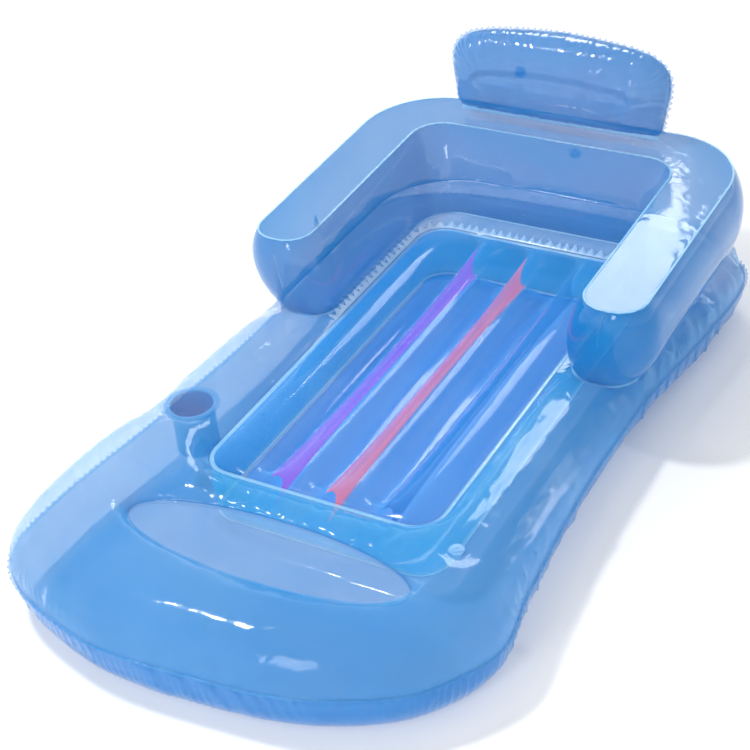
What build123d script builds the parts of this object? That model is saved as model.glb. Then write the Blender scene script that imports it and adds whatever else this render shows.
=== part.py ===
"""Inflatable pool lounger with a backrest, a headrest, a cup holder and a ribbed see-through floor.

Every sheet is drawn as a 1.2 mm film so that it stays a sound solid; the real film is 0.3 mm.
X runs across, +Y toward the headrest, +Z up; the lounger lies on z = 0.
"""
import os

from build123d import *

os.makedirs("parts", exist_ok=True)

# ---- driving dimensions (mm) ---------------------------------------------------------------
film = 1.2  # drawn thickness of every welded sheet
gap = 0.3  # space left between neighbouring sheets, filled by the weld in the real article
tube_r = 95.0  # radius of the round edge of the base
seam_z, top_z = tube_r, 2 * tube_r  # heights of the outer seam and of the top of the base
half_w, half_l = 458.0, 793.0  # half width and half length that the outline is drawn to
outline = [  # right half of the base outline, foot end to back end, as shares of those two
    (0.2620, -0.9887), (0.5349, -0.9571), (0.7533, -0.8941), (0.9170, -0.8020), (0.9934, -0.6961),
    (0.9869, -0.5549), (0.9432, -0.3783), (0.9127, -0.1513), (0.9039, 0.0757), (0.9214, 0.3026),
    (0.9607, 0.5296), (0.9825, 0.7062), (0.9345, 0.8525), (0.7533, 0.9470), (0.4367, 0.9899),
]
flange = 7.0  # width of the crinkled weld standing out all round

seat_z = top_z - 38.0  # level the base is held down to under the backrest
step_y, step_r = 110.0, 36.0  # where the base drops to that level, and how roundly

well_half, well_y0, well_y1 = 245.0, -387.0, 540.0  # the open middle of the base
well_corner, well_roll = 62.0, 40.0
ledge = 9.0  # width of the flat weld that joins the floor to the well wall
rim_z = top_z - well_roll  # top weld of the well
web_x = (-117.0, 0.0, 117.0)  # the three coloured webs under the floor
web_y0, web_y1, web_notch = -338.0, 520.0, 34.0
web_z0, web_z1 = 58.0, top_z - 58.0
rib_rise = 26.0  # how far each rib swells past its webs

lens_x, lens_y, lens_c, lens_roll = 283.0, 77.0, -540.0, 30.0  # shallow heel rest
lens_depth = 9.0

cup_x, cup_y, cup_r, cup_depth = -340.0, -255.0, 42.0, 96.0
cup_top = top_z - 14.0

arm_tall = 193.0  # height of the walls of backrest and arms
arm_z = seat_z + arm_tall
arm_low = dict(inner=268.0, outer=392.0, front=125.0, back_in=612.0, back_out=750.0, ri=80.0, ro=180.0)
arm_mid = dict(inner=262.0, outer=446.0, front=88.0, back_in=618.0, back_out=786.0, ri=86.0, ro=200.0)
arm_top = dict(inner=298.0, outer=418.0, front=110.0, back_in=652.0, back_out=760.0, ri=70.0, ro=170.0)
arm_nose = 52.0  # plan radius of the arm ends
panel_rise = 16.0

head_y, head_root, head_wide = 702.0, 236.0, 258.0
head_side, head_rise = 158.0, 190.0
head_thick = 62.0  # half of it
head_roll = head_thick - 10
head_lean = 7.0  # degrees that the headrest leans back
head_gap = 10.0  # height of the flexible root weld that the headrest nods on
head_z = arm_z + gap + panel_rise + head_gap

valve_x, valve_y = 322.0, -440.0  # blow-up valve of the base
head_valve_x, head_valve_up = -120.0, 70.0
flange_r, bore_r, stem_r, stem_wall = 14.0, 7.5, 7.0, 1.5
stem_in, lip_r, cap_r, shank = 13.0, 9.0, 8.4, 5.4


# ---- helpers ------------------------------------------------------------------------------
def save(name, solid):
    """Write one node, checking that it is a real closed solid."""
    parts = solid.solids() if hasattr(solid, "solids") else [solid]
    assert parts and all(p.volume > 1 for p in parts), name
    export_step(solid, f"parts/{name}.step")
    box = solid.bounding_box()
    print(f"{name:26s} {len(parts)} solid  {box.min.X:8.1f} {box.min.Y:8.1f} {box.min.Z:8.1f}"
          f"  {box.max.X:8.1f} {box.max.Y:8.1f} {box.max.Z:8.1f}")


def hull_face(inset=0.0):
    """The base outline as a flat face at z = 0, every point moved inward by inset."""
    right = [(0, -1)] + outline + [(0, 1)]
    shares = right + [(-x, y) for x, y in reversed(outline)]
    points = [Vector(x * half_w, y * half_l) for x, y in shares]
    ahead, behind = points[1:] + points[:1], points[-1:] + points[:-1]
    inward = [(b - a).normalized().rotate(Axis.Z, 90) for a, b in zip(behind, ahead)]
    moved = [p + n * inset for p, n in zip(points, inward)]
    return make_face(Spline(*moved, periodic=True).edges())


def faceted(face, count=240):
    """The same outline drawn as short straight lines, which suits a thin ring."""
    wire = face.face().outer_wire()
    return make_face(Polyline(*[wire.position_at(i / count) for i in range(count)], close=True).edges())


def well_face(grow=0.0):
    """The well outline, drawn out by grow."""
    middle = (well_y0 + well_y1) / 2
    return Pos(0, middle) * RectangleRounded(
        2 * (well_half + grow), well_y1 - well_y0 + 2 * grow, well_corner + grow)


def lens_face(grow=0.0):
    return Pos(0, lens_c) * Ellipse(lens_x + grow, lens_y + grow)


def rise(face, low, high):
    """A flat face at z = 0 pulled up between two heights."""
    return extrude(Pos(0, 0, low) * face, high - low)


def ring(outer, inner, low, high):
    return rise(outer, low, high) - rise(inner, low - 1, high + 1)


def top_edges(solid, z, reach=0.05):
    return solid.edges().filter_by(lambda e: abs(e.bounding_box().min.Z - z) < reach
                                   and abs(e.bounding_box().max.Z - z) < reach)


def hull_block(t):
    """Half of the base as a full block, every face drawn in by t."""
    height = tube_r - t
    body = rise(hull_face(t) if t else hull_face(), 0, height)
    body = fillet(top_edges(body, height), tube_r - t - 1.0)
    hole = rise(well_face(t), -1, height + 1)
    body = body - hole
    rolled = [e for e in top_edges(body, height) if abs(e.center().X) < well_half + t + 1
              and well_y0 - t - 1 < e.center().Y < well_y1 + t + 1]
    return fillet(rolled, well_roll - 1.0)


# ---- base: top and bottom sheets, seam, well wall --------------------------------------------
def base_top():
    def block(t):
        body = hull_block(t)
        body = body - rise(lens_face(t), -1, tube_r + 1)
        rim = tube_r - t - lens_roll
        body = body - extrude(Pos(0, 0, rim) * lens_face(t), lens_roll + 1, taper=-45)
        low = seat_z - seam_z - t
        cut = Pos(0, step_y - step_r - t + 500, low + 150) * Box(1200, 1000, 300)
        nose = Pos(0, step_y - step_r - t, low) * Rot(0, 90, 0) * Cylinder(step_r, 1300)
        body = body - (cut - nose)
        return body - Pos(cup_x, cup_y, cup_top - seam_z - t + 100) * Cylinder(cup_r + 14 + t, 200)

    sheet = block(0.0) - Pos(0, 0, -0.01) * block(film)
    sheet = sheet - rise(Rectangle(1200, 1800), -2, 1.0 + gap)
    sheet = sheet - rise(well_face(film + 1), -1, rim_z - seam_z)
    sheet = sheet - rise(lens_face(film + 1), -1, tube_r - lens_roll - 0.5)
    sheet = sheet - Pos(cup_x, cup_y, 100) * Cylinder(cup_r + film + gap, 200)
    sheet = sheet - Pos(valve_x, valve_y, 100) * Cylinder(bore_r + 0.4, 200)
    return Pos(0, 0, seam_z) * sheet


def base_bottom():
    sheet = hull_block(0.0) - Pos(0, 0, -0.01) * hull_block(film)
    sheet = sheet - rise(Rectangle(1200, 1800), -2, 1.0 + gap)
    sheet = sheet - rise(well_face(film + 1), -1, rim_z - seam_z)
    return Pos(0, 0, seam_z) * mirror(sheet, Plane.XY)


save("base_top_sheet", base_top())
save("base_bottom_sheet", base_bottom())
save("base_seam_weld", Pos(0, 0, seam_z - 1) * ring(faceted(hull_face(-flange)), faceted(hull_face(film)), 0, 2))
low_rim = 2 * seam_z - rim_z
save("well_wall", ring(well_face(-gap), well_face(-gap - film), low_rim + gap, rim_z - gap))
save("well_top_weld", ring(well_face(-gap), well_face(-ledge), rim_z + gap, rim_z + gap + film))
save("well_bottom_weld", ring(well_face(-gap), well_face(-ledge), low_rim - gap - film, low_rim - gap))


# ---- floor of the well: two ribbed sheets held together by three coloured webs -------------------
def ribbed(edge, valley, crest, lift):
    """Cross-section of a ribbed sheet; lift is +1 for the upper sheet and -1 for the lower."""
    half = well_half - ledge + 2  # trimmed to the well outline below
    stops = [-half, *web_x, half]
    levels = [edge, valley, valley, valley, edge]

    def line(drop):
        curve = []
        for (x0, z0), (x1, z1) in zip(zip(stops, levels), zip(stops[1:], levels[1:])):
            crown = crest - (0 if z0 == z1 else 3)
            curve.append(ThreePointArc((x0, z0 - drop), ((x0 + x1) / 2, crown - drop), (x1, z1 - drop)))
        return curve

    shift = film * lift
    ends = [Line((x, z), (x, z - shift)) for x, z in ((stops[0], edge), (stops[-1], edge))]
    profile = make_face([e for part in line(0) + line(shift) + ends for e in part.edges()])
    sheet = extrude(Plane.XZ * profile, 1200, both=True)
    return sheet & rise(well_face(-ledge - gap), 0, 300)


crest_z = web_z1 + rib_rise
save("floor_top_sheet", ribbed(rim_z - 1, web_z1 + 1.5, crest_z, 1))
save("floor_bottom_sheet", ribbed(low_rim + 1, web_z0 - 1.5, 2 * seam_z - crest_z, -1))


def web(x):
    """One web: a tall thin strip with a swallow-tail cut in each end."""
    corners = [(web_y0, web_z0), (web_y1, web_z0), (web_y1, web_z1), (web_y0, web_z1)]
    middle = (web_z0 + web_z1) / 2
    face = make_face([
        *Line(corners[0], corners[1]).edges(),
        *ThreePointArc(corners[1], (web_y1 - web_notch, middle), corners[2]).edges(),
        *Line(corners[2], corners[3]).edges(),
        *ThreePointArc(corners[3], (web_y0 + web_notch, middle), corners[0]).edges()])
    return Pos(x - film / 2, 0, 0) * extrude(Plane.YZ * face, film)


for name, x in zip(("floor_web_violet", "floor_web_coral", "floor_web_blue"), web_x):
    save(name, web(x))

# ---- heel rest and cup holder ---------------------------------------------------------------
lens_z = top_z - lens_roll
panel_z = lens_z - lens_depth
save("heel_rest_wall", ring(lens_face(-gap), lens_face(-gap - film), panel_z, lens_z - gap))
save("heel_rest_panel", rise(lens_face(-gap), panel_z - gap - film, panel_z - gap))

cup_floor_z = cup_top - cup_depth
at_cup = Pos(cup_x, cup_y, 0)
save("cup_wall", at_cup * ring(Circle(cup_r + film), Circle(cup_r), cup_floor_z, cup_top))
save("cup_floor", at_cup * rise(Circle(cup_r + film), cup_floor_z - gap - film, cup_floor_z - gap))
save("cup_rim_weld", at_cup * ring(Circle(cup_r + 13), Circle(cup_r), cup_top + gap, cup_top + gap + film))


# ---- backrest and arms: one U-shaped chamber ---------------------------------------------------
def u_face(s, t=0.0):
    """Plan of the U at one height, drawn in by t; arms point toward the foot end."""
    xi, xo = s["inner"] + t, s["outer"] - t
    yf, yi, yo = s["front"] + t, s["back_in"] + t, s["back_out"] - t
    ri, ro, rn = s["ri"] + t, s["ro"] - t, arm_nose - t
    k = 1 - 0.5 ** 0.5
    right = [
        Line((0, yi), (xi - ri, yi)),
        ThreePointArc((xi - ri, yi), (xi - ri * k, yi - ri * k), (xi, yi - ri)),
        Line((xi, yi - ri), (xi, yf + rn)),
        ThreePointArc((xi, yf + rn), (xi + rn * k, yf + rn * k), (xi + rn, yf)),
        Line((xi + rn, yf), (xo - rn, yf)),
        ThreePointArc((xo - rn, yf), (xo - rn * k, yf + rn * k), (xo, yf + rn)),
        Line((xo, yf + rn), (xo, yo - ro)),
        ThreePointArc((xo, yo - ro), (xo - ro * k, yo - ro * k), (xo - ro, yo)),
        Line((xo - ro, yo), (0, yo)),
    ]
    right = [e for part in right for e in part.edges()]
    left = [e.mirror(Plane.YZ) for e in right]
    return make_face(right + left)


def u_body(t, low, high):
    """The bulging walls of the U as a full block between two heights."""
    sections = [Pos(0, 0, low) * u_face(arm_low, t),
                Pos(0, 0, (low + high) / 2) * u_face(arm_mid, t),
                Pos(0, 0, high) * u_face(arm_top, t)]
    return loft(sections)


arm_foot_z = seat_z + gap
wall = u_body(0, arm_foot_z, arm_z) - u_body(film, arm_foot_z - 0.01, arm_z + 0.01)
split_x = (arm_low["inner"] + arm_low["outer"]) / 2 + 8
inside = rise(Pos(0, -100) * Rectangle(2 * split_x, 1580), 0, 600)
inside = fillet(inside.edges().filter_by(Axis.Z).group_by(Axis.Y)[-1], 120)
outside = rise(Pos(0, -100) * Rectangle(2 * split_x + 2, 1582), -1, 601)
outside = fillet(outside.edges().filter_by(Axis.Z).group_by(Axis.Y)[-1], 121)
save("backrest_inner_wall", wall & inside)
back_hole = Pos(0, arm_mid["back_out"], (arm_foot_z + arm_z) / 2) * Rot(90, 0, 0) * Cylinder(bore_r + 0.4, 20)
save("backrest_outer_wall", wall - outside - back_hole)


def panel_block(t):
    body = Pos(0, 0, arm_z + gap) * extrude(u_face(arm_top, t), panel_rise - t)
    return fillet(top_edges(body, arm_z + gap + panel_rise - t), panel_rise - t - 0.8)


panel = panel_block(0) - Pos(0, 0, -0.01) * panel_block(film)
save("backrest_top_panel", panel)
save("backrest_top_weld", rise(u_face(arm_top, -3.5) - u_face(arm_top, -gap), arm_z + 0.1, arm_z + 1.6))
save("backrest_root_weld", rise(u_face(arm_low, -7) - u_face(arm_low, -1.8), arm_foot_z, arm_foot_z + film))
rim_band = ring(well_face(15), well_face(0.7), arm_foot_z, arm_foot_z + film)
save("seat_rim_flange", rim_band & rise(Pos(0, step_y + 15 + 500) * Rectangle(1200, 1000), 0, 300))


# ---- headrest: two sheets with a crinkled seam, standing on a flexible root weld ---------------
def head_face(t=0.0):
    """Outline of the headrest in its own upright plane, drawn in by t."""
    low, high = [(-head_root, 0), (head_root, 0)], [(head_wide, head_side), (-head_wide, head_side)]
    face = make_face([
        *Line(low[0], low[1]).edges(), *Line(low[1], high[0]).edges(),
        *ThreePointArc(high[0], (0, head_rise), high[1]).edges(), *Line(high[1], low[0]).edges()])
    face = fillet(face.vertices().group_by(Axis.Y)[0], 60)
    face = fillet(face.vertices().filter_by(lambda v: abs(v.Y - head_side) < 1), 72)
    return face if t == 0 else offset(face, -t, kind=Kind.ARC)


def head_block(t):
    body = extrude(head_face(t), head_thick - t)
    return fillet(top_edges(body, head_thick - t), head_roll - t)


root_line = Location((0, head_y, head_z), (-head_lean, 0, 0))
upright = root_line * Plane(origin=(0, 0, 0), x_dir=(1, 0, 0), z_dir=(0, -1, 0)).location
shell = head_block(0) - Pos(0, 0, -0.01) * head_block(film)
shell = shell - Pos(0, 0, -1) * Box(700, 700, 2 * (1 + gap + 0.7))
back_shell = mirror(shell, Plane.XY)
hole = Pos(head_valve_x, head_valve_up, -head_thick) * Cylinder(bore_r + 0.4, 12)
save("headrest_front_sheet", upright * shell)
save("headrest_back_sheet", upright * (back_shell - hole))
edge = Pos(0, 0, -0.7) * extrude(head_face(-6) - head_face(film), 1.4)
edge = edge - Pos(0, -290, 0) * Box(700, 600, 10)
save("headrest_seam_weld", upright * edge)
root_h = head_gap - 2 * gap
save("headrest_root_weld", Pos(0, head_y, arm_z + gap + panel_rise + gap + root_h / 2) * Box(340, 2.4, root_h))


# ---- blow-up valves: flange welded to the skin, pushed-in stem, plug on a strap, check flap ----
def valve(prefix, place):
    """Four parts of one valve; place puts local z = 0 on the outside of the skin."""
    outside_z = 3.3
    ring_part = Pos(0, 0, gap) * extrude(Circle(flange_r) - Circle(bore_r), film)
    tube = Pos(0, 0, -stem_in) * extrude(Circle(stem_r), stem_in + outside_z)
    lip = Pos(0, 0, outside_z - 1.4) * extrude(Circle(lip_r), 1.4)
    ear = Pos(lip_r, 0, outside_z - 0.7) * Box(6, 5, 1.4)
    bore = Pos(0, 0, -stem_in - 1) * extrude(Circle(stem_r - stem_wall), stem_in + outside_z + 2)
    stem = tube + lip + ear - bore
    cap_z = outside_z + gap
    cap = Pos(0, 0, cap_z) * extrude(Circle(cap_r), 1.6)
    strap = Pos(lip_r, 0, cap_z + 0.6) * Box(6, 4, 1.2)
    peg = Pos(0, 0, cap_z - shank / 2) * Rot(180, 0, 0) * Cone(5.0, 3.4, shank)
    flap = Pos(0, 0, -stem_in - gap - 0.8) * extrude(Circle(stem_r - 0.6), 0.8)
    save(f"{prefix}_valve_flange", place * ring_part)
    save(f"{prefix}_valve_stem", place * stem)
    save(f"{prefix}_valve_plug", place * (cap + strap + peg))
    save(f"{prefix}_valve_flap", place * flap)


facing_back = dict(x_dir=(1, 0, 0), z_dir=(0, 1, 0))
valve("base", Pos(valve_x, valve_y, top_z))
valve("backrest", Plane(origin=(0, arm_mid["back_out"], (arm_foot_z + arm_z) / 2), **facing_back).location)
on_head = Plane(origin=(head_valve_x, head_thick, head_valve_up), **facing_back).location
valve("headrest", root_line * on_head)
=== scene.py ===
# %% [markdown]
# # An inflatable pool lounger, from solved shapes to see-through film
#
# This lesson dresses the frame of a pool lounger. The frame already holds every
# solid at its true place, so each step below makes one visible piece, says which
# frame piece it stands for, and lets it ride on the body that carries it.
#
# The shapes are not guessed: a welded sheet blown up from one side bulges like a
# soap film between the lines that hold it. If `h` is the height of the film above
# the plane of its seam, then `h * h` has the same curvature everywhere. That makes
# every bulge a small heat-flow problem, solved once on a grid.

import math

import bpy
import numpy as np
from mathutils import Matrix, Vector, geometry


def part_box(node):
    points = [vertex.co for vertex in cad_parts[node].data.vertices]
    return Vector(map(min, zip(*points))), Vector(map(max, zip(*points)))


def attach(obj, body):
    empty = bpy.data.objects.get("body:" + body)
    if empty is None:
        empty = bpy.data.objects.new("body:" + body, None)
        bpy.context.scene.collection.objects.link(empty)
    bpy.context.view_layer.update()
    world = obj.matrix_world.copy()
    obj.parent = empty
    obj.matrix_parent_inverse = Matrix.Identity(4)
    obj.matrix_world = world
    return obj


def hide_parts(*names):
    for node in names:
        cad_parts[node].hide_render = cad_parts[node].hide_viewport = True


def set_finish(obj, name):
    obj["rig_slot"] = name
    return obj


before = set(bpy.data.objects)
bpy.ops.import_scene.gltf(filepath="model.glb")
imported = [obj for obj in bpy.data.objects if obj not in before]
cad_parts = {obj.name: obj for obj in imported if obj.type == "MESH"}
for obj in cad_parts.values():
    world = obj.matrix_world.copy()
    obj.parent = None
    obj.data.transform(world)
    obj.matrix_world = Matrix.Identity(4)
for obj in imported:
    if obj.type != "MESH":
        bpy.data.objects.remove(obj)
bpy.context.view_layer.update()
random = np.random.default_rng(7)
MM = 0.001
FILM = 0.8  # thickness of a visible sheet, mm


def node_box(name):
    """Lowest and highest corner of a frame piece, in mm."""
    low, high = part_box(name)
    return np.array(low) / MM, np.array(high) / MM


# %% [markdown]
# ## Sizes
#
# Every length is read from the frame, so the looks stay on the solids. The outline
# of the base is a list of shares of its half width and half length.

# %% Read the sizes
seam_low, seam_high = node_box("base_seam_weld")
SEAM_Z = (seam_low[2] + seam_high[2]) / 2
HALF_W, HALF_L = seam_high[0] - 7.0, seam_high[1] - 7.0
TOP_Z = node_box("base_top_sheet")[1][2]
well_low, well_high = node_box("well_wall")
WELL = dict(half=well_high[0] + 0.3, y0=well_low[1] - 0.3, y1=well_high[1] + 0.3, corner=62.0)
RIM = well_high[2] + 0.3 - SEAM_Z  # height of the well rim above the seam plane
web_low, web_high = node_box("floor_web_violet")
WEB_HALF = (web_high[2] - web_low[2]) / 2
WEB_Y = (web_low[1], web_high[1])
WEBS = {name: sum(b[0] for b in node_box(f"floor_web_{name}")) / 2 for name in ("violet", "coral", "blue")}
lens_low, lens_high = node_box("heel_rest_panel")
LENS = ((lens_high[0] - lens_low[0]) / 2, (lens_high[1] - lens_low[1]) / 2, (lens_high[1] + lens_low[1]) / 2)
LENS_Z = node_box("heel_rest_wall")[1][2]
cup_low, cup_high = node_box("cup_wall")
CUP = ((cup_low[0] + cup_high[0]) / 2, (cup_low[1] + cup_high[1]) / 2, (cup_high[0] - cup_low[0]) / 2 - 1.2)
CUP_Z = (cup_low[2], cup_high[2])
valve_low, valve_high = node_box("base_valve_flange")
VALVE = ((valve_low[0] + valve_high[0]) / 2, (valve_low[1] + valve_high[1]) / 2, valve_low[2] - 0.3)
FOOT_Z = node_box("backrest_inner_wall")[0][2]
ARM_Z = node_box("backrest_inner_wall")[1][2]
print("seam plane", SEAM_Z, "half width and length", HALF_W, HALF_L, "webs", WEBS)

# %% [markdown]
# ## Outlines
#
# Plan outlines are closed loops of points. A loop through a few shares of the base
# size is smoothed with a cubic curve; the well and the arms are lines and arcs.


# %% Outline helpers
def smooth_loop(points, count):
    """A closed cubic curve through the points, sampled evenly by length."""
    p = np.asarray(points, float)
    n = len(p)
    gap = np.linalg.norm(np.roll(p, -1, 0) - p, axis=1)
    matrix, right = np.zeros((n, n)), np.zeros((n, 2))
    for i in range(n):
        before, after = gap[i - 1], gap[i]
        matrix[i, i - 1], matrix[i, i], matrix[i, (i + 1) % n] = after, 2 * (before + after), before
        right[i] = 3 * (after * (p[i] - p[i - 1]) / before + before * (p[(i + 1) % n] - p[i]) / after)
    slope = np.linalg.solve(matrix, right)
    curve = []
    for i in range(n):
        j, u = (i + 1) % n, np.linspace(0, 1, 60, endpoint=False)[:, None]
        curve.append((2 * u**3 - 3 * u**2 + 1) * p[i] + (u**3 - 2 * u**2 + u) * gap[i] * slope[i]
                     + (3 * u**2 - 2 * u**3) * p[j] + (u**3 - u**2) * gap[i] * slope[j])
    return even(np.concatenate(curve), count)


def even(loop, count):
    """The same closed loop, as count points an equal way apart."""
    closed = np.vstack([loop, loop[:1]])
    far = np.concatenate([[0], np.cumsum(np.linalg.norm(np.diff(closed, axis=0), axis=1))])
    at = np.linspace(0, far[-1], count, endpoint=False)
    return np.stack([np.interp(at, far, closed[:, k]) for k in range(closed.shape[1])], 1)


def outward(loop):
    """Unit normals that point out of an anticlockwise loop."""
    along = np.roll(loop, -1, 0) - np.roll(loop, 1, 0)
    along /= np.linalg.norm(along, axis=1)[:, None]
    return np.stack([along[:, 1], -along[:, 0]], 1)


def inside(loop, points):
    """Which points lie inside the loop."""
    hit = np.zeros(len(points), bool)
    x, y = points[:, 0], points[:, 1]
    for (x0, y0), (x1, y1) in zip(loop, np.roll(loop, -1, 0)):
        if y0 == y1:
            continue
        cross = (y0 > y) != (y1 > y)
        hit ^= cross & (x < (x1 - x0) * (y - y0) / (y1 - y0) + x0)
    return hit


def distance(loop, points, closed=True):
    """Shortest way from each point to the line of the loop."""
    a = np.asarray(loop, float)
    b = np.roll(a, -1, 0) if closed else a[1:]
    a = a if closed else a[:-1]
    best = np.full(len(points), 1e9)
    for k in range(0, len(points), 4000):
        p = points[k:k + 4000, None, :]
        d = (b - a)[None]
        t = np.clip(((p - a[None]) * d).sum(2) / (d**2).sum(2), 0, 1)[..., None]
        best[k:k + 4000] = np.sqrt((((p - a[None]) - t * d)**2).sum(2)).min(1)
    return best


def round_box(half, y0, y1, corner, count, grow=0.0):
    """An upright rounded rectangle, anticlockwise."""
    x, low, high, r = half + grow, y0 - grow, y1 + grow, corner + grow
    centres = [(x - r, low + r, -90), (x - r, high - r, 0), (r - x, high - r, 90), (r - x, low + r, 180)]
    points = [(cx + r * math.cos(math.radians(a0 + a)), cy + r * math.sin(math.radians(a0 + a)))
              for cx, cy, a0 in centres for a in range(0, 91, 6)]
    return even(np.array(points), count)


def ellipse(cx, cy, rx, ry, count):
    a = np.linspace(0, 2 * math.pi, count, endpoint=False)
    return np.stack([cx + rx * np.cos(a), cy + ry * np.sin(a)], 1)


OUTLINE = [  # shares of half width and half length, anticlockwise from the foot end; air leaves it a little uneven
    (0.0, -1.002), (0.24, -0.988), (0.46, -0.957), (0.64, -0.911), (0.775, -0.862), (0.885, -0.782),
    (0.972, -0.668), (0.945, -0.548), (0.921, -0.429), (0.904, -0.318), (0.886, -0.164), (0.880, -0.059),
    (0.882, 0.076), (0.889, 0.235), (0.915, 0.378), (0.941, 0.498), (0.967, 0.656), (0.972, 0.769),
    (0.934, 0.870), (0.753, 0.950), (0.436, 0.990), (0.0, 1.0), (-0.436, 0.990), (-0.753, 0.948),
    (-0.945, 0.858), (-0.990, 0.740), (-0.985, 0.620), (-0.965, 0.470), (-0.940, 0.260), (-0.935, 0.076),
    (-0.948, -0.049), (-0.965, -0.172), (-0.980, -0.311), (-1.008, -0.440), (-1.038, -0.590), (-1.046, -0.720),
    (-1.028, -0.822), (-0.955, -0.893), (-0.820, -0.945), (-0.625, -0.985), (-0.406, -1.011), (-0.20, -1.012),
]
HULL = smooth_loop([(x * HALF_W, y * HALF_L) for x, y in OUTLINE], 900)
WELL_LOOP = round_box(**WELL, count=440)
LENS_LOOP = ellipse(0, LENS[2], LENS[0], LENS[1], 220)
print("outline", len(HULL), "points, length", round(np.linalg.norm(HULL - np.roll(HULL, 1, 0), axis=1).sum()), "mm")


# %% The plan of the U, at any height of its wall
def u_loop(inner, outer, front, back_in, back_out, ri, ro, nose=52.0, grow=0.0):
    """The U of the backrest and arms as one anticlockwise loop; grow swells it.

    Every stretch has a fixed number of points, so that loops at two heights match."""
    inner, outer, front = inner - grow, outer + grow, front - grow
    back_in, back_out = back_in - grow, back_out + grow
    ri, ro, nose = ri - grow, ro + grow, nose + grow

    def arc(cx, cy, r, a0, a1, count):
        return [(cx + r * math.cos(math.radians(a)), cy + r * math.sin(math.radians(a)))
                for a in np.linspace(a0, a1, count, endpoint=False)]

    def line(x0, y0, x1, y1, count):
        return [(x0 + (x1 - x0) * t, y0 + (y1 - y0) * t) for t in np.linspace(0, 1, count, endpoint=False)]

    half = [
        *line(0, back_in, inner - ri, back_in, 24), *arc(inner - ri, back_in - ri, ri, 90, 0, 18),
        *line(inner, back_in - ri, inner, front + nose, 44), *arc(inner + nose, front + nose, nose, 180, 270, 14),
        *line(inner + nose, front, outer - nose, front, 5), *arc(outer - nose, front + nose, nose, 270, 360, 14),
        *line(outer, front + nose, outer, back_out - ro, 44), *arc(outer - ro, back_out - ro, ro, 0, 90, 30),
        *line(outer - ro, back_out, 0, back_out, 24)]
    mirrored = [(-x, y) for x, y in reversed(half[1:])]
    return np.array(half + [(0.0, back_out)] + mirrored)


U_LOW = dict(inner=268.0, outer=392.0, front=125.0, back_in=612.0, back_out=750.0, ri=80.0, ro=180.0)
U_TOP = dict(inner=298.0, outer=418.0, front=110.0, back_in=652.0, back_out=760.0, ri=70.0, ro=170.0)
U_ROOT = even(u_loop(**U_LOW), 560)


# %% [markdown]
# ## Blown-up sheets
#
# `membrane` finds h * h on a square grid. It starts from zero and relaxes, letting each
# free cell move to the mean of its neighbours plus a constant push from the air. Held
# cells keep the height of their weld. Just past an outer seam the value runs on below
# zero, so the film meets its seam at the true place with an upright edge.

# %% The membrane solver
class Membrane:
    """h * h of a film that is held along an outer seam and over some inner regions."""

    def __init__(self, seam, holds, cell=5.0, rounds=420, push=2.0, edge_height=0.0):
        pad = 3 * cell
        low, high = seam.min(0) - pad, seam.max(0) + pad
        nx, ny = (np.ceil((high - low) / cell).astype(int) + 1)
        self.low, self.cell, self.shape = low, cell, (nx, ny)
        gx, gy = np.meshgrid(np.arange(nx), np.arange(ny), indexing="ij")
        points = np.stack([gx.ravel(), gy.ravel()], 1) * cell + low
        reach = distance(seam[::2], points) * np.where(inside(seam, points), 1, -1)
        value, free = np.full(nx * ny, edge_height**2), reach > 0
        for region, height in holds:
            chosen = region(points)
            value[chosen] = (height(points[chosen]) if callable(height) else height) ** 2
            free &= ~chosen
        value, free, reach = (v.reshape(nx, ny) for v in (value, free, reach))
        checker = (gx + gy) % 2
        edge = (reach <= 0) & (reach > -2.5 * cell)
        omega = 2 / (1 + math.sin(math.pi / max(nx, ny)))
        free[[0, -1]] = free[:, [0, -1]] = False
        masks = [free & (checker == k) for k in (0, 1)]
        slope = 180.0
        for turn in range(rounds):
            for mask in masks:
                mean = np.zeros_like(value)
                mean[1:-1, 1:-1] = (value[:-2, 1:-1] + value[2:, 1:-1] + value[1:-1, :-2] + value[1:-1, 2:]) / 4
                value[mask] += omega * (mean[mask] + push * cell * cell / 4 - value[mask])
            if turn % 20 == 0 and not edge_height:  # carry the slope at the seam on to the cells outside it
                near = free & (reach < 2 * cell)
                slope = max(20.0, float((value[near] / reach[near]).mean()))
                value[edge] = slope * reach[edge]
        self.value, self.reach = value, reach
        ratio = np.where(np.abs(reach) > 1.0, value / np.where(np.abs(reach) > 1.0, reach, 1.0), slope)
        self.ratio = np.where(reach <= 1.0, slope, ratio)

    def look(self, grid, points):
        at = (points - self.low) / self.cell
        i = np.clip(np.floor(at).astype(int), 0, np.array(self.shape) - 2)
        f = at - i
        g = grid
        return ((g[i[:, 0], i[:, 1]] * (1 - f[:, 0]) + g[i[:, 0] + 1, i[:, 1]] * f[:, 0]) * (1 - f[:, 1])
                + (g[i[:, 0], i[:, 1] + 1] * (1 - f[:, 0]) + g[i[:, 0] + 1, i[:, 1] + 1] * f[:, 0]) * f[:, 1])

    def height(self, points, reach):
        """Height of the film over plan points that lie reach inside the seam."""
        return np.sqrt(np.maximum(self.look(self.ratio, points) * np.maximum(reach, 0), 0))


def soft_limit(h, most, knee=0.8):
    """h, bending smoothly to stay under most."""
    start = knee * most
    over = np.maximum(h - start, 0) / (most - start)
    return np.where(h > start, start + (most - start) * np.tanh(over), h)


# %% [markdown]
# ## From points to closed sheets
#
# `tile` joins rings of points along the welds and a loose honeycomb between them into
# one net of triangles. `sheet_piece` gives the net its thickness, so every film is a
# closed mesh with its faces outward.


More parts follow.
